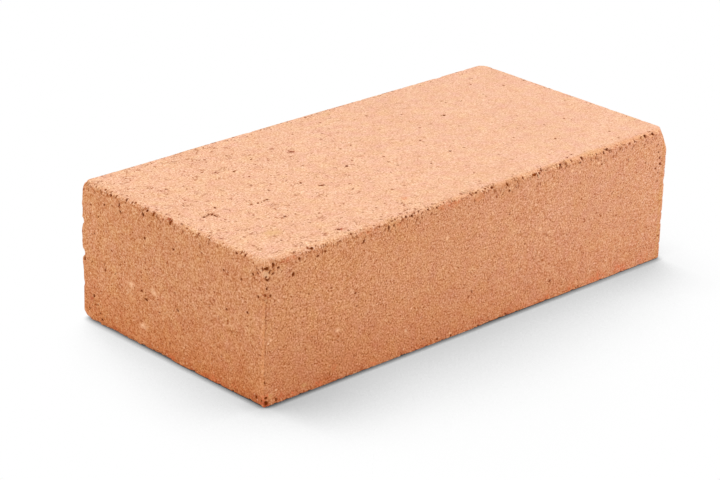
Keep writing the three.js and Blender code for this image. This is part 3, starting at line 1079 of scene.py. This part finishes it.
def toned(at, colour, fine):
    """Uneven tone, from clouds down to single grains. A darker tone is also a redder one."""
    slow_tone = plus(about_zero(noise(at.place, CLOUD, 1.0), 0.08), about_zero(at.patch, 0.07), 1.0)
    side_swing = times(scaled(at.to_right, -0.10, 0.97), scaled(at.bed, -1.0, 1.0))
    swing = plus(times(scaled(at.to_right, -0.30, 1.02), at.bed), side_swing)
    grain_tone = either(scaled(fine, swing, 1.0), 0.3)
    steepness = [
        scaled(at.bed, on_bed - on_side, on_side)
        for on_side, on_bed in zip(GRAIN_STEEPNESS, BED_GRAIN_STEEPNESS)
    ]
    pinker = about_zero(noise(at.place, PATCH, 2.0), 0.17)
    elsewhere = vector_node("ADD", at.place, (300.0, 0.0, 0.0))
    yellower = about_zero(noise(elsewhere, YELLOW_PATCH, 2.0))
    yellower = times(yellower, scaled(at.bed, -0.08, 0.32))
    leaning = wired("ShaderNodeCombineXYZ", {0: 1.0, 1: plus(pinker, 1.0), 2: plus(yellower, 1.0)})
    colour = vector_node("MULTIPLY", colour, redder_when_dark(slow_tone, SLOW_STEEPNESS))
    colour = vector_node("MULTIPLY", colour, redder_when_dark(grain_tone, steepness))
    return vector_node("MULTIPLY", colour, leaning.outputs[0])


def with_seam_highlight_and_shadow(at, colour):
    """The mould's seam down the left front arris: a pale ridge with a painted highlight, and a dark
    line of painted shadow beside it.
    """
    seam = times(ramp(at.up, *SEAM_UP), scaled(ramp(at.wander, -0.12, 0.12), 0.9, 0.1))
    on_arris = ramp(at.from_left, *ON_LEFT_ARRIS)
    pale_lit_ridge = times(ramp(at.from_front, *SEAM_HIGHLIGHT_OUTER), ramp(at.from_front, *SEAM_HIGHLIGHT_INNER))
    ridge_shadow = times(on_arris, ramp(at.from_front, *SEAM_SHADOW))
    colour = mix_colour(times(times(pale_lit_ridge, on_arris), times(seam, 0.60)), colour, PALE_END_CLAY_AND_HIGHLIGHT)
    return mix_colour(times(ridge_shadow, times(seam, 0.50)), colour, PORE)


def painted(at, name):
    """One of the masks that the mesh carries."""
    mask = at.tree.nodes.new("ShaderNodeAttribute")
    mask.attribute_name = name
    return mask.outputs["Fac"]


def with_patches(at, colour):
    """Stains and other patches. All but the smooth ones are crumbly, with clay showing between."""
    crumbly = scaled(ramp(at.wander, -0.12, 0.14), 1.35, 0.15)
    for name, tint in PATCH_TONES.items():
        share = painted(at, name)
        if name not in SMOOTH_PATCHES:
            share = times(share, crumbly)
        colour = mix_colour(share, colour, tint)
    return colour


def tears_in_bed(at):
    """Short curved lines on the beds, where the clay tore as it was struck off."""
    curls = math_node("ABSOLUTE", about_zero(noise(at.place, CURL, 0.6)))
    torn = plus(noise(at.place, TORN_PATCH, 1.5), about_zero(at.to_right, -0.08))
    return times(times(ramp(curls, *CURL_LINE), ramp(torn, *TORN)), at.bed)


def lost_from_rims(at):
    """Crumbs gone from the upper arrises, too small to be modelled, as small upright specks of painted
    shade over darker clay.
    """
    ragged = plus(at.from_rim, scaled(at.wander, CRUMB_WANDER))
    crumbling = times(ramp(ragged, *CRUMBLING), ramp(at.clusters, *CRUMBS_GATHER))
    flaking = times(ramp(ragged, *FLAKING), ramp(at.clusters, *FLAKES_GATHER))
    sound = either(at.sound_near, ramp(at.along, *SOUND_FAR))
    sound = either(sound, scaled(ramp(at.from_left, *SOUND_LEFT), 0.65))
    upright = vector_node("MULTIPLY", at.place, (1.0, 1.0, 0.55))
    crumbs = specks(upright, CRUMBS, times(crumbling, scaled(sound, -0.40, 0.58)))
    small = specks(upright, SMALL_CRUMBS, times(flaking, scaled(sound, -0.40, 0.80)))
    return either(crumbs, scaled(small, 0.8))


def make_clay():
    clay, shown = new_material("fired_clay")
    at = find_places(clay.node_tree)
    skin = bed_colour(at)
    fine = grain_of_clay(at)
    colour = mix_colour(at.bed, side_colour(at, skin), skin)
    colour = with_patches(at, with_seam_highlight_and_shadow(at, toned(at, colour, fine)))

    # Pores and broken places, and the grains that stand out of both. Broken places get painted shade
    # over darker clay. The clay is coarser towards the left, and its wide pores gather in patches.
    coarse = math_node("SUBTRACT", 1.0, times(at.to_right, scaled(at.bed, 0.35, 0.20)))
    gathered = ramp(at.clusters, *PORES_GATHER)
    wide_share = times(gathered, times(coarse, scaled(at.bed, -0.10, 0.32)))
    fine_pores = specks(at.place, FINE_PORES, scaled(at.bed, -0.28, 0.50))
    wide_pores = specks(at.place, WIDE_PORES, wide_share)
    pale = specks(at.place, PALE_GRAINS, 0.30)
    sandy = specks(at.place, SANDY_GRAINS, scaled(at.bed, -0.18, 0.18))
    red = specks(at.place, RED_GRAINS, scaled(at.kiln_edge, 0.4, 0.25))
    tears = tears_in_bed(at)
    crumbs = lost_from_rims(at)
    pit_shade_and_clay_mask = ramp(scaled(fine, 0.5, painted(at, "broken")), 0.15, 0.85)
    layers = [
        (fine_pores, times(coarse, 0.85), PORE),
        (wide_pores, 0.7, PORE),
        (tears, times(coarse, 0.62), PORE),
        (pale, scaled(at.bed, -0.25, 0.5), PALE_GRAIN),
        (sandy, 0.6, PATCH_TONES["grain"]),
        (red, 0.3, RED_GRAIN),
        # Lost crumbs and broken places: painted shade over darker clay
        (crumbs, 0.75, PIT_SHADE_AND_DARK_CLAY),
        (pit_shade_and_clay_mask, 0.95, PIT_SHADE_AND_DARK_CLAY),
    ]
    for mask, share, tint in layers:
        colour = mix_colour(times(mask, share), colour, tint)

    # Relief: how high each stands in mm, or how deep it is sunk
    height = plus(scaled(fine, 0.022), scaled(at.wander, 0.05))
    reliefs = [(fine_pores, -0.07), (wide_pores, -0.15), (tears, -0.08), (crumbs, -0.15), (pale, 0.03)]
    for mask, rise in reliefs:
        height = scaled(mask, rise, height)
    relief = wired("ShaderNodeBump", {"Height": height, "Strength": 1.0, "Distance": MM})

    surface = wired(
        "ShaderNodeBsdfPrincipled",
        {
            "Base Color": colour,
            "Normal": relief.outputs[0],
            "Roughness": 0.93,
            "Specular IOR Level": 0.05,
        },
    )
    plug(shown, surface.outputs[0])
    return clay


brick.data.materials.clear()
brick.data.materials.append(make_clay())


# ---- The floor ------------------------------------------------------------------------------
# A plain pale sheet that the brick lies on. It is seen as white, shaded only by how much of the
# white tent the brick hides from it, and it gives its plain colour to what stands on it.
FLOOR_HALF = 6.0
FLOOR_GIVES = (0.80, 0.80, 0.80, 1)

# The broad shade: how far off it is cast, where the light leans from, and by how much that turns
# past the right-hand end, from where to where along the brick
TENT_REACH = 141 * MM
TENT_LEAN = (0.35, 0.72, 1.0)
TENT_LEAN_TURN = -0.47
TENT_TURNS = (95 * MM, 135 * MM)
SHADE_SLOPE = 1.18
SHADE_START = 0.222

# The dark line right under the brick, which fades away from the near corner and behind
CREVICE_REACH = 3.2 * MM
CREVICE_LEAN = (0.0, 0.62, 1.0)
CREVICE_DARK = 1.9
CREVICE_FADE = -0.9
CREVICE_FAR_FADE = -0.35
CREVICE_FAR = (160 * MM, 250 * MM)
CREVICE_BEHIND = -0.8

# Softer shades by the near corner, at its foot and by the far front corner, and the light beyond
CORNER_SHADE = -0.195
CORNER_REACH = 74 * MM
CORNER_TURN = 10 * MM
CORNER_SHADE_AT_END = 0.42
CONTACT_SHADE = -0.13
CONTACT_REACH = 12 * MM
FAR_CORNER_SHADE = -0.085
FAR_CORNER_REACH = 45 * MM
FAR_CORNER_OUT = 14 * MM
FAR_SHADE = 0.03
FAR_BAND = (110 * MM, 170 * MM)

floor_mesh = bpy.data.meshes.new("floor")
floor_corners = [(x * FLOOR_HALF, y * FLOOR_HALF, 0) for x, y in ((-1, -1), (1, -1), (1, 1), (-1, 1))]
floor_mesh.from_pydata(floor_corners, [], [(0, 1, 2, 3)])
floor = bpy.data.objects.new("floor", floor_mesh)
bpy.context.scene.collection.objects.link(floor)


def openness(tree, reach, lean):
    """How open the space over each place is within that reach, looking up and leaning that way."""
    leaning = tree.nodes.new("ShaderNodeCombineXYZ")
    for socket, part in zip(leaning.inputs, lean):
        plug(socket, part)
    sockets = {"Normal": leaning.outputs[0], "Distance": reach}
    return wired("ShaderNodeAmbientOcclusion", sockets, samples=8).outputs["AO"]


def seen_straight(tree):
    """1 for the rays that show a thing as it is: to the camera, in a mirror or through glass."""
    ray = tree.nodes.new("ShaderNodeLightPath").outputs
    return either(either(ray["Is Camera Ray"], ray["Is Glossy Ray"]), ray["Is Transmission Ray"])


def make_floor():
    pale, shown = new_material("pale_floor")
    tree = pale.node_tree
    place = tree.nodes.new("ShaderNodeTexCoord").outputs["Object"]
    axes = axes_of(place)
    half_long = LENGTH / 2 * MM
    half_wide = WIDTH / 2 * MM
    from_corner = distance(place, (-half_long, -half_wide, 0))
    outside = (half_long - FAR_CORNER_OUT, -half_wide - FAR_CORNER_OUT, 0)
    from_far_corner = distance(place, outside)

    turned = scaled(ramp(axes["X"], *TENT_TURNS), TENT_LEAN_TURN, TENT_LEAN[0])
    under_tent = openness(tree, TENT_REACH, (turned, *TENT_LEAN[1:]))
    under_tent = scaled(under_tent, SHADE_SLOPE, SHADE_START)
    in_front = ramp(axes["X"], -half_long - CORNER_TURN, -half_long + CORNER_TURN)
    in_front = scaled(in_front, 1 - CORNER_SHADE_AT_END, CORNER_SHADE_AT_END)
    by_corner = times(ramp(from_corner, CORNER_REACH, 0.0), in_front)
    shaded = scaled(by_corner, CORNER_SHADE, 1.0)
    shaded = scaled(ramp(from_corner, CONTACT_REACH, 0.0), CONTACT_SHADE, shaded)
    shaded = scaled(ramp(from_far_corner, FAR_CORNER_REACH, 0.0), FAR_CORNER_SHADE, shaded)
    shaded = scaled(ramp(from_corner, *FAR_BAND), FAR_SHADE, shaded)

    dark = scaled(ramp(from_corner, 0.0, LENGTH * MM), CREVICE_FADE, CREVICE_DARK)
    dark = scaled(ramp(from_corner, *CREVICE_FAR), CREVICE_FAR_FADE, dark)
    dark = scaled(ramp(axes["Y"], -half_wide, half_wide), CREVICE_BEHIND, dark)
    crevice = math_node("POWER", openness(tree, CREVICE_REACH, CREVICE_LEAN), dark)
    brightness = math_node("MULTIPLY", times(under_tent, shaded), crevice, clamp=True)

    seen = wired("ShaderNodeEmission", {"Strength": brightness})
    gives = tree.nodes.new("ShaderNodeBsdfDiffuse")
    gives.inputs["Color"].default_value = FLOOR_GIVES
    choice = {0: seen_straight(tree), 1: gives.outputs[0], 2: seen.outputs[0]}
    plug(shown, wired("ShaderNodeMixShader", choice).outputs[0])
    return pale


floor.data.materials.append(make_floor())


# ---- The light ------------------------------------------------------------------------------
# An even white tent all round, with one broad soft lamp overhead and a smaller one off each end.
TENT = 0.90
TENT_SEEN = 1.0

# Each lamp: its name, its place and its aim in metres, its size in metres and its power in watts
LAMPS = [
    ("overhead", (-0.5, 0.9, 1.9), (0, 0, 0.03), 1.2, 7.6),
    ("near end", (-0.95, 0.5, 0.42), (-0.125, 0.03, 0.03), 0.5, 1.15),
    ("far end", (0.55, -0.5, 0.3), (0.08, 0, 0.03), 0.35, 1.5),
]

world = bpy.data.worlds.new("tent")
world.use_nodes = True
world_nodes = world.node_tree.nodes
world_nodes.clear()
tents = {0: seen_straight(world.node_tree)}
for index, strength in enumerate((TENT, TENT_SEEN), 1):
    tent = world_nodes.new("ShaderNodeBackground")
    tent.inputs["Color"].default_value = (1, 1, 1, 1)
    tent.inputs["Strength"].default_value = strength
    tents[index] = tent.outputs[0]
tent_shown = wired("ShaderNodeMixShader", tents).outputs[0]
plug(world_nodes.new("ShaderNodeOutputWorld").inputs["Surface"], tent_shown)
bpy.context.scene.world = world

for name, place, aim, size, power in LAMPS:
    lamp = bpy.data.objects.new(name, bpy.data.lights.new(name, "AREA"))
    lamp.data.shape = "SQUARE"
    lamp.data.size = size
    lamp.data.energy = power
    towards = (Vector(aim) - Vector(place)).to_track_quat("-Z", "Y")
    lamp.matrix_world = Matrix.Translation(place) @ towards.to_matrix().to_4x4()
    bpy.context.scene.collection.objects.link(lamp)

bpy.context.scene.view_settings.view_transform = "Standard"
